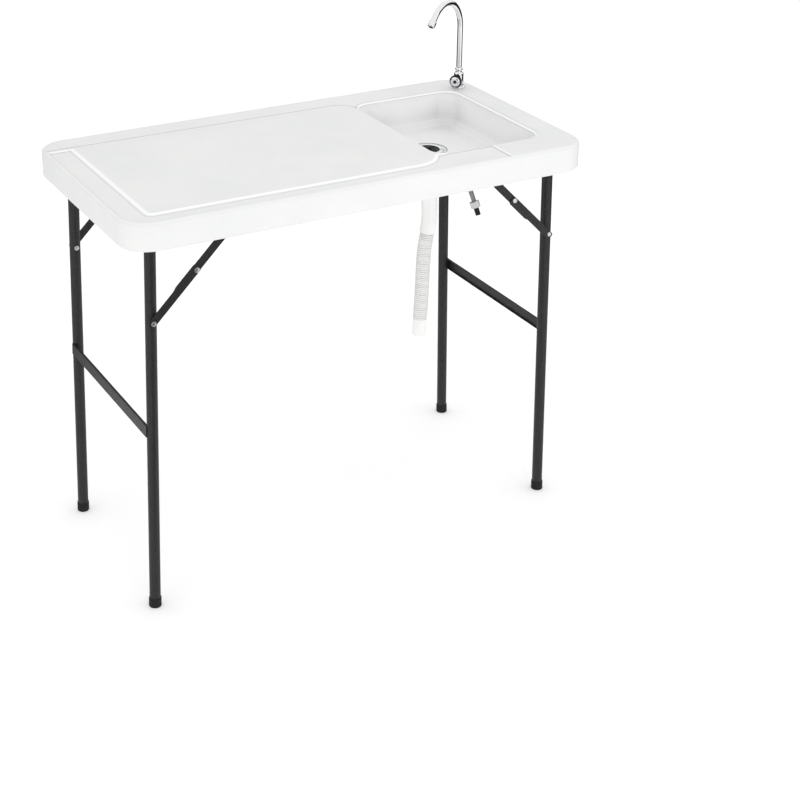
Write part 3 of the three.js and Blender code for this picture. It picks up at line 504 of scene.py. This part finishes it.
def catmull(points, steps):
    """Evenly spaced points on a smooth curve through points, and the curve's length."""
    dense = []
    padded = [points[0] * 2 - points[1]] + points + [points[-1] * 2 - points[-2]]
    for a, b, c, d in zip(padded, padded[1:], padded[2:], padded[3:]):
        for k in range(CURVE_STEPS):
            t = k / CURVE_STEPS
            dense.append(0.5 * ((2 * b) + (c - a) * t + (2 * a - 5 * b + 4 * c - d) * t * t
                                + (3 * b - a - 3 * c + d) * t ** 3))
    dense.append(points[-1])
    lengths = [0.0]
    for p, q in zip(dense, dense[1:]):
        lengths.append(lengths[-1] + (q - p).length)
    result = []
    j = 0
    for i in range(steps + 1):
        want = lengths[-1] * i / steps
        while j + 2 < len(dense) and lengths[j + 1] < want:
            j += 1
        span = lengths[j + 1] - lengths[j]
        share = 0 if span == 0 else (want - lengths[j]) / span
        result.append(dense[j].lerp(dense[j + 1], share))
    return result, lengths[-1]


def axes(origin, z_axis, x_axis=(1, 0, 0)):
    """Placement with its Z along z_axis and its X near x_axis."""
    z = Vector(z_axis).normalized()
    y = z.cross(Vector(x_axis)).normalized()
    x = y.cross(z)
    return Matrix.Translation(origin) @ Matrix((x, y, z)).transposed().to_4x4()


# Cords, on the routes of the CAD hoses, in millimetres

# A point of the drain hose is how far right and up it is from its lap on the drain's tail.
# A cuff is its length and radius, and a lip how long and how deep it rounds a cuff off.
DRAIN_RUN = ((0, 0), (0, -20), (0.6, -40), (6.5, -84), (7.5, -130), (2.5, -168), (-3.5, -200),
             (-7, -250), (-8.5, -310), (-10.5, -360), (-12.8, -402), (-14.5, -439))
DRAIN_HOSE = {"lap": 36, "top_cuff": (168, 19.5), "end_cuff": (45, 17.5), "top_lip": (2, 1.2),
              "end_lip": (1.4, 0.7), "rib_pitch": 5.2, "rib_radius": 15.8, "rib_height": 2.2,
              "rib_shape": 0.7, "wall": 1.6, "lap_bore": 16.7, "bore": 15.9, "bore_step": 40}
DRAIN_STEPS, DRAIN_SIDES = 660, 40

# The supply hose starts inside the coupling nut.
SUPPLY_START = 6
SUPPLY_RUN = ((0, 0, 0), (0, 0, -20), (1, -2, -48), (4, -9, -94), (9, -21, -142),
              (17, -36.5, -188), (25.5, -52, -232))
SUPPLY_RADIUS = 6
SUPPLY_STEPS, SUPPLY_SIDES = 120, 32


def drain_radius(at, length):
    """Outer radius in millimetres, at a distance down the hose."""
    (top_cuff, top_radius), (end_cuff, end_radius) = DRAIN_HOSE["top_cuff"], DRAIN_HOSE["end_cuff"]
    top_cuff, end_cuff = top_cuff * MM, end_cuff * MM
    if at <= top_cuff:
        lip, drop = DRAIN_HOSE["top_lip"]
        return top_radius - drop * max(0, (at - top_cuff) / (lip * MM) + 1) ** 2
    if length - at < end_cuff:
        lip, drop = DRAIN_HOSE["end_lip"]
        return end_radius - drop * max(0, 1 - (length - at) / (lip * MM)) ** 2
    ribbed = length - top_cuff - end_cuff
    ribs = round(ribbed / (DRAIN_HOSE["rib_pitch"] * MM))
    phase = (at - top_cuff) / ribbed * ribs
    wave = 0.5 - 0.5 * math.cos(TURN * phase)
    return DRAIN_HOSE["rib_radius"] + DRAIN_HOSE["rib_height"] * wave ** DRAIN_HOSE["rib_shape"]


def add_drain_hose():
    x, y, _ = middle("drain_body")
    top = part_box("drain_body")[0].z + DRAIN_HOSE["lap"] * MM
    points = [Vector((x + a * MM, y, top + b * MM)) for a, b in DRAIN_RUN]
    line, length = catmull(points, DRAIN_STEPS)
    radii, bores = [], []
    for i in range(DRAIN_STEPS + 1):
        at = length * i / DRAIN_STEPS
        radius = drain_radius(at, length)
        bore = DRAIN_HOSE["lap_bore" if at < DRAIN_HOSE["bore_step"] * MM else "bore"]
        radii.append(radius * MM)
        bores.append(min(radius * MM - DRAIN_HOSE["wall"] * MM, bore * MM))
    rings = ring_tube(line, radii, DRAIN_SIDES, bores)
    obj = mesh_object("drain_hose_form", *skin(rings), "hose_plastic", "table", 70)
    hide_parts("drain_hose")


def lay_out_braid(mesh, length):
    """UV map of the braid: its share of the way round, and its distance along in metres."""
    uv = mesh.uv_layers.new(name=BRAID_UV)
    for polygon in mesh.polygons:
        indices = [mesh.loops[loop].vertex_index for loop in polygon.loop_indices]
        at_seam = any(index % SUPPLY_SIDES == SUPPLY_SIDES - 1 for index in indices)
        for loop, index in zip(polygon.loop_indices, indices):
            ring, side = divmod(index, SUPPLY_SIDES)
            if side == 0 and at_seam:
                side = SUPPLY_SIDES
            uv.data[loop].uv = (side / SUPPLY_SIDES, ring * length / SUPPLY_STEPS)


def add_supply_hose():
    x, y, _ = middle("supply_coupling_nut")
    start = Vector((x, y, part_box("supply_coupling_nut")[0].z + SUPPLY_START * MM))
    points = [start + Vector(offset) * MM for offset in SUPPLY_RUN]
    line, length = catmull(points, SUPPLY_STEPS)
    rings = ring_tube(line, [SUPPLY_RADIUS * MM] * len(line), SUPPLY_SIDES)
    obj = mesh_object("supply_hose_form", *skin(rings), "braided_steel", "table", 70)
    lay_out_braid(obj.data, length)
    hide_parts("supply_hose")


# CAD nodes that keep their shape: smooth shading, small edge rounds, the right material

# A node takes the width of the first key that its name holds.
EDGE_ROUND = {"tabletop": 1.2 * MM, "crossbar": 0.6 * MM, "rail": 0.5 * MM, "link": 0.35 * MM,
              "nut": 0.5 * MM}
SHARP_DEGREES = {"shade": 30, "round": 35}
FINE_DEGREES = {"shade": 14, "round": 16}
WELD_DISTANCE = 0.02 * MM


def dress_nodes():
    for name, obj in NODES.items():
        if obj.hide_render:
            continue
        degrees = FINE_DEGREES if name == "tabletop" else SHARP_DEGREES
        obj.data.materials.clear()
        obj.data.materials.append(MATERIALS[SLOT_OF[name]])
        obj.modifiers.new("weld", "WELD").merge_threshold = WELD_DISTANCE
        soften(obj.data, degrees["shade"])
        width = next((width for key, width in EDGE_ROUND.items() if key in name), None)
        if width:
            edge = obj.modifiers.new("edge", "BEVEL")
            edge.width = width
            edge.segments = 2
            edge.limit_method = "ANGLE"
            edge.angle_limit = math.radians(degrees["round"])
        obj.modifiers.new("flat", "WEIGHTED_NORMAL").keep_sharp = True


# Tap, smooth where the CAD has facets. Lengths and profiles are in millimetres.

# The spout's radius is less by inside_box, so that its finer facets stay in the solid's box.
TAP = {"rise": 102, "bend": 78, "angle": math.radians(135), "tip": 12, "radius": 7.3, "wall": 1.2,
       "inside_box": 0.3, "spout_turn": math.radians(-150), "hub_turn": math.radians(-140),
       "hub_height": 21, "lever_lean": math.radians(160), "lever_outline": (16, 17, 4),
       "washer_gap": 0.3}
RISE_STEPS, BEND_STEPS, TIP_STEPS = 12, 60, 3
NOZZLE = [(0, 0.3), (8.5, 0.3), (9.2, 1.1), (9.2, 1.8), (8.8, 2.2), (8.8, 3), (9.2, 3.4),
          (9.2, 10), (8.7, 10.4), (8.7, 11.2), (9.2, 11.6), (9.2, 14.2), (8.6, 15.4),
          (7.6, 16), (5.8, 16), (5.6, 14), (0, 14)]
SCREEN = [(0, 14.05), (5.4, 14.05), (5.4, 14.6), (4.6, 14.9), (0, 14.9)]
BODY = [(8, 4.6), (11.4, 4.6), (12, 5.2), (12, 8), (11.6, 8.5), (11.6, 9.2), (12, 9.8),
        (12, 35.6), (11.7, 36.6), (10.4, 38.2), (8.9, 39.6), (8.5, 41.6), (0, 41.6)]
THREAD = {"start": [(0, -62), (7.4, -62), (8, -61.2)], "first": -60.5, "pitch": 1.25,
          "turns": 30, "turn": ((8, 0), (7.5, 0.5), (8, 1.0))}
FLANGE = [(8.3, 0.3), (17, 0.3), (17.5, 0.8), (17.5, 2.2), (17, 3.2), (15.8, 4), (13.6, 4.3),
          (8.3, 4.3)]
BALL = {"below": [(5.2, 41.9), (8.2, 41.9)], "above": [(6.9, 53.6), (5.2, 53.9)],
        "middle": 47.6, "radius": 9.5, "rise": 6.3, "half_turn": 0.95, "steps": 8}
HUB = [(0, 3), (4, 3), (4, 12.3), (9.8, 12.3), (10.5, 13), (10.5, 15.6), (9.9, 16.2),
       (9.9, 17), (10.5, 17.6), (10.5, 20.6), (9.8, 21.3), (0, 21.3)]
LEVER_RINGS = ((1.2, 21.6), (0.3, 22.1), (0, 23.0), (0, 25.0), (0.5, 26.0), (1.6, 26.6))
DIAL = [(0, 26.9), (12, 26.9), (12.4, 27.4), (12.4, 28.6), (12, 29.4), (10.4, 30.2), (8, 30.7),
        (5.2, 30.9), (4.6, 30.6), (4.2, 29.6), (0, 29.6)]
PLUG = [(0, 29.7), (3.9, 29.7), (3.9, 30.4), (3.2, 30.8), (0, 30.9)]


def add_spout():
    x, y, _ = middle("tap_collar_nut")
    origin = Vector((x, y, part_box("tap_spout")[0].z))
    out = level(TAP["spout_turn"])
    rise, bend, angle = TAP["rise"] * MM, TAP["bend"] * MM, TAP["angle"]
    points = [origin + UP * rise * i / RISE_STEPS for i in range(RISE_STEPS + 1)]
    for i in range(1, BEND_STEPS + 1):
        a = angle * i / BEND_STEPS
        points.append(origin + UP * (rise + bend * math.sin(a)) + out * bend * (1 - math.cos(a)))
    away = UP * math.cos(angle) + out * math.sin(angle)
    bent = points[-1]
    points += [bent + away * TAP["tip"] * MM * i / TIP_STEPS for i in range(1, TIP_STEPS + 1)]
    radius = TAP["radius"] * MM
    bore = radius - TAP["wall"] * MM
    rings = ring_tube(points, [radius - TAP["inside_box"] * MM] * len(points), 40,
                      [bore] * len(points))
    spout = mesh_object("spout_tube", *skin(rings), "chrome", "spout", 50)
    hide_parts("tap_spout")
    place = axes(points[-1], away, UP.cross(out))
    aerator = lathe("spout_nozzle", NOZZLE, "chrome", "spout", place)
    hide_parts("tap_aerator")
    lathe("spout_nozzle_screen", SCREEN, "black_plastic", "spout", place)


def add_tap_body():
    x, y, _ = middle("tap_flange")
    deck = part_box("tap_flange")[0].z - TAP["washer_gap"] * MM
    base = Matrix.Translation((x, y, deck))
    shank = list(THREAD["start"])
    for i in range(THREAD["turns"]):
        z = THREAD["first"] + i * THREAD["pitch"]
        shank += [(r, z + rise) for r, rise in THREAD["turn"]]
    obj = lathe("tap_body_turned", shank + BODY, "chrome", "table", base, 64, 50)
    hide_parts("tap_body")
    obj = lathe("tap_flange_turned", FLANGE, "chrome", "table", base, 64, 50)
    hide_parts("tap_flange")
    ball = []
    for i in range(BALL["steps"] + 1):
        a = -BALL["half_turn"] + 2 * BALL["half_turn"] * i / BALL["steps"]
        ball.append((BALL["radius"] * math.cos(a), BALL["middle"] + BALL["rise"] * math.sin(a)))
    obj = lathe("tap_collar_ball", BALL["below"] + ball + BALL["above"], "chrome", "table", base,
                48, 60)
    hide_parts("tap_collar_nut")


def add_tap_lever():
    x, y, _ = middle("tap_flange")
    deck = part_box("tap_flange")[0].z
    centre = Vector((x, y, deck + (TAP["hub_height"] - TAP["washer_gap"]) * MM))
    place = axes(centre, level(TAP["hub_turn"]), -UP)
    obj = lathe("tap_hub_turned", HUB, "chrome", "lever", place)
    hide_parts("tap_lever_hub")
    outline = teardrop(*[size * MM for size in TAP["lever_outline"]])
    spin = place @ Matrix.Rotation(TAP["lever_lean"], 4, "Z")
    rings = [[spin @ Vector((p.x - n.x * inset * MM, p.y - n.y * inset * MM, z * MM))
              for p, n in outline] for inset, z in LEVER_RINGS]
    obj = mesh_object("tap_lever_teardrop", *skin(rings), "black_plastic", "lever", 50)
    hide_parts("tap_lever")
    obj = lathe("tap_lever_dial", DIAL, "chrome", "lever", place)
    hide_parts("tap_lever_cap")
    lathe("tap_lever_plug", PLUG, "black_plastic", "lever", place, 32)


# Strainer: a pressed steel rim round a black grid of rings and spokes, in millimetres
STRAINER = {"rim": 36.5, "grid": 27.5, "knob_top": 7.2, "ring_top": 1.7, "spokes": 6,
            "rings": ((0, 5.5), (9.6, 12.8), (16.8, 20), (24, 27.2)),
            "spoke_start": 5, "spoke_rows": ((0.4, 1.1), (1.3, 1.1), (1.6, 0.7))}


def add_strainer():
    x, y, _ = middle("drain_strainer")
    place = Matrix.Translation((x, y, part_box("drain_strainer")[0].z))
    outer, inner = STRAINER["rim"], STRAINER["grid"]
    rim = [(inner, 0), (outer, 0), (outer, 0.9), (outer - 0.8, 1.6), (outer - 3, 2.2),
           (inner + 4, 2.3), (inner + 1.2, 1.9), (inner, 1.0)]
    obj = lathe("strainer_rim", rim, "chrome", "table", place, 72, 50)
    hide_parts("drain_strainer")
    for i, (start, end) in enumerate(STRAINER["rings"]):
        knob = start == 0
        height = STRAINER["knob_top" if knob else "ring_top"]
        soft = 1.2 if knob else 0.3
        ring = [(start, 0.5), (end, 0.5), (end, height - soft), (end - soft, height)]
        ring += [(0, height)] if knob else [(start + soft, height), (start, height - soft)]
        lathe(f"strainer_ring_{i}", ring, "black_plastic", "table", place, 64, 50)
    # A black disc under the grid, a dark sheet standing in for the shade seen through its openings.
    back = [(0, -0.05), (inner - 0.1, -0.05), (inner - 0.1, 0.35), (0, 0.35)]
    lathe("strainer_hole_shade", back, "black_plastic", "table", place, 64, 50)
    near, far = STRAINER["spoke_start"], inner - 0.5
    for i in range(STRAINER["spokes"]):
        turn = place @ Matrix.Rotation(TURN * i / STRAINER["spokes"], 4, "Z")
        rows = [[turn @ Vector((x * MM, y * MM, z * MM))
                 for x, y in ((near, -half), (far, -half), (far, half), (near, half))]
                for z, half in STRAINER["spoke_rows"]]
        mesh_object(f"strainer_spoke_{i}", *skin(rows), "black_plastic", "table")


# Feet, rivets and screws. Lengths and profiles are in millimetres.
FOOT = {"splay": math.radians(1.17), "half_height": 11}
FOOT_CAP = [(0, -1), (12.4, -1), (13.6, 0.4), (14.3, 1.6), (14.3, 3.2), (13.9, 3.5),
            (13.9, 4.3), (14.3, 4.6), (14.3, 6.2), (13.9, 6.5), (13.9, 7.3), (14.3, 7.6),
            (14.3, 21), (14, 21.7), (13.3, 22), (13.0, 21.6), (13.0, 4), (0, 4)]
RIVET = {"leg": 12.7, "sheet": 1.8, "gap": 0.3, "pin": 3, "shoulder": 4.5, "head": 5.5,
         "knee_head": 6, "head_rim": 0.35, "head_dome": 0.95, "rail_face": 28, "rail_sheet": 2}
SCREW = {"radius": 3.6, "rim": 0.3, "dome": 1.0, "seat": 0.02,
         "corner_shares": (0.2, 0.55, 0.9), "centre_shares": (0.04, 0.2, 0.5, 0.8, 0.96)}
DIMPLE = [(0, -0.2), (3.5, -0.2), (3.5, 0.02), (2.9, 0.3), (2.2, 0.28), (1.5, 0.05), (0, 0.02)]
DIMPLE_PLACES = (37, 52)


def add_foot_caps():
    splay = FOOT["splay"]
    for end, sign in ENDS.items():
        for where in SIDES:
            node = f"{end}_foot_cap_{where}"
            x, y, _ = middle(node)
            axis = Vector((-sign * math.sin(splay), 0, math.cos(splay)))
            foot = Vector((x + sign * FOOT["half_height"] * MM * math.sin(splay), y, 0))
            obj = lathe(f"{node}_moulded", FOOT_CAP, "black_rubber", f"{end}_legs",
                        axes(foot, axis), 40)
            for vertex in obj.data.vertices:
                vertex.co.z = max(0.0, vertex.co.z)
            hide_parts(node)


def rivet_kinds():
    """Each kind's profile and the height at which it starts, out from the leg's middle plane."""
    pin, head, knee_head = RIVET["pin"], RIVET["head"], RIVET["knee_head"]
    shoulder, gap, rim = RIVET["shoulder"], RIVET["gap"], RIVET["head_rim"]
    upper_in = RIVET["leg"] + gap
    upper_out = upper_in + RIVET["sheet"]
    lower_in = upper_out + gap
    head_in = lower_in + RIVET["sheet"] + gap
    far = -RIVET["leg"] - gap
    web_in = RIVET["rail_face"] - RIVET["rail_sheet"] - gap
    web_out = RIVET["rail_face"] + gap

    def rounded(radius, base):
        return dome(radius, base + rim, RIVET["head_dome"])

    back_head = [(r, far - rim - z) for r, z in dome(head, 0, RIVET["head_dome"])[-2::-1]]
    start = far - rim - RIVET["head_dome"]
    leg = [(0, start)] + back_head + [
        (head, far), (pin, far), (pin, upper_in), (shoulder, upper_in), (shoulder, upper_out),
        (pin, upper_out), (pin, head_in), (head, head_in)] + rounded(head, head_in)
    knee = [(0, lower_in), (pin, lower_in), (pin, head_in), (knee_head, head_in)]
    knee += rounded(knee_head, head_in)
    rail = [(0, upper_in), (pin, upper_in), (pin, lower_in), (shoulder, lower_in),
            (shoulder, web_in), (pin, web_in), (pin, web_out), (head, web_out)]
    rail += rounded(head, web_out)
    return {"leg_rivet": (leg, start), "knee_rivet": (knee, lower_in),
            "rail_rivet": (rail, upper_in)}


def add_rivets():
    kinds = rivet_kinds()
    for end in ENDS:
        for where, side in SIDES.items():
            bodies = {"leg_rivet": f"{end}_legs", "rail_rivet": "table",
                      "knee_rivet": f"{end}_lower_link_{where}"}
            for kind, (profile, start) in kinds.items():
                node = f"{end}_{kind}_{where}"
                low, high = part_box(node)
                x, _, z = middle(node)
                base = low.y if side > 0 else high.y
                place = axes((x, base - side * start * MM, z), (0, side, 0))
                obj = lathe(f"{node}_domed", profile, "bright_steel", bodies[kind], place, 32)
                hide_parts(node)


def add_rail_screws():
    head = [(0, 0), (SCREW["radius"], 0)] + dome(SCREW["radius"], SCREW["rim"], SCREW["dome"])
    rails = [(f"{end}_rail_{where}", sign, SCREW["corner_shares"])
             for end, sign in ENDS.items() for where in SIDES]
    rails += [(f"centre_rail_{where}", -1, SCREW["centre_shares"]) for where in SIDES]
    for rail, sign, shares in rails:
        low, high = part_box(rail)
        y = middle(rail)[1]
        for i, share in enumerate(shares):
            inset = share * (high.x - low.x)
            x = high.x - inset if sign > 0 else low.x + inset
            place = axes((x, y, low.z + SCREW["seat"] * MM), -UP)
            lathe(f"{rail}_screw_{i}", head, "bright_steel", "table", place, 20)


def add_link_dimples():
    """Two pressed dimples in each lower link near its knee."""
    for end in ENDS:
        for where, side in SIDES.items():
            node = f"{end}_lower_link_{where}"
            low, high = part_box(node)
            face = high.y if side > 0 else low.y
            knee = Vector(middle(f"{end}_knee_rivet_{where}"))
            run = Vector(middle(f"{end}_leg_rivet_{where}")) - knee
            run.y = 0
            run.normalize()
            for i, distance in enumerate(DIMPLE_PLACES):
                at = Vector((knee.x, face, knee.z)) + run * distance * MM
                lathe(f"{node}_dimple_{i}", DIMPLE, "coated_steel", node,
                      axes(at, (0, side, 0)), 24)


# Stage: a pale matt floor, an evenly bright studio room, black cards and soft lamps
ROOM_LIGHT = 1.015
FLOOR_HALF = 14
FLOOR_GLOW = 0.12
TAP_PLACE = (0.527, 0.214)
# The cards stand in arcs about the tap, out of sight, and only darken what gloss mirrors.
# Each is the first and the last direction of its arc in degrees, its reach and its height.
CARDS = ((62, 160, 1.35, 1.25), (212, 246, 1.35, 1.25), (322, 418, 1.35, 1.25),
         (135, 169, 6, 2.7), (305, 339, 6, 2.7))
CARD_STEPS = 16
# Each lamp is its name, place, size and power.
LAMPS = (("front", (-1.0, -5.2, 1.7), 2.0, 30), ("right", (4.4, -2.6, 1.6), 1.4, 10))
LAMP_AIM = Vector((0, 0, 0.8))


def stage_mesh(name, points, faces, material):
    mesh = bpy.data.meshes.new(name)
    mesh.from_pydata(points, [], faces)
    mesh.materials.append(material)
    obj = add_object(name, mesh)
    return obj


def add_floor():
    g = Graph("floor", grey(0.93), 0.7)
    g.color(g.mix(g.noise(3, detail=2), grey(0.92), grey(0.94)))
    g.set(Emission_Color=(1, 1, 1, 1), Emission_Strength=FLOOR_GLOW, Specular_IOR_Level=0.0)
    corners = [(-1, -1), (1, -1), (1, 1), (-1, 1)]
    stage_mesh("floor", [(x * FLOOR_HALF, y * FLOOR_HALF, 0) for x, y in corners],
               [(0, 1, 2, 3)], g.material)


def add_room():
    world = bpy.data.worlds.new("studio")
    world.use_nodes = True
    background = world.node_tree.nodes["Background"]
    background.inputs["Color"].default_value = (1, 1, 1, 1)
    background.inputs["Strength"].default_value = ROOM_LIGHT
    bpy.context.scene.world = world


def add_cards():
    g = Graph("card_black", grey(0.004), 0.9)
    g.color(g.mix(g.noise(4, detail=2), grey(0.003), grey(0.006)))
    for i, (first, last, reach, height) in enumerate(CARDS):
        angles = [math.radians(first + (last - first) * k / CARD_STEPS)
                  for k in range(CARD_STEPS + 1)]
        points = [Vector((*TAP_PLACE, z)) + reach * level(angle)
                  for z in (0, height) for angle in angles]
        faces = [(k, k + 1, k + CARD_STEPS + 2, k + CARD_STEPS + 1) for k in range(CARD_STEPS)]
        card = stage_mesh(f"card_{i}", points, faces, g.material)
        card.visible_camera = card.visible_diffuse = card.visible_shadow = False
        card.visible_transmission = card.visible_volume_scatter = False


def add_lamps():
    for name, place, size, power in LAMPS:
        data = bpy.data.lights.new(name, "AREA")
        data.size = size
        data.energy = power
        light = add_object(name, data)
        light.location = place
        light.rotation_euler = (LAMP_AIM - Vector(place)).to_track_quat("-Z", "Y").to_euler()


add_camera()
add_drain_hose()
add_supply_hose()
add_spout()
add_tap_body()
add_tap_lever()
add_strainer()
add_foot_caps()
add_rivets()
add_rail_screws()
add_link_dimples()
dress_nodes()
add_floor()
add_room()
add_cards()
add_lamps()
bpy.context.scene.view_settings.view_transform = "Standard"
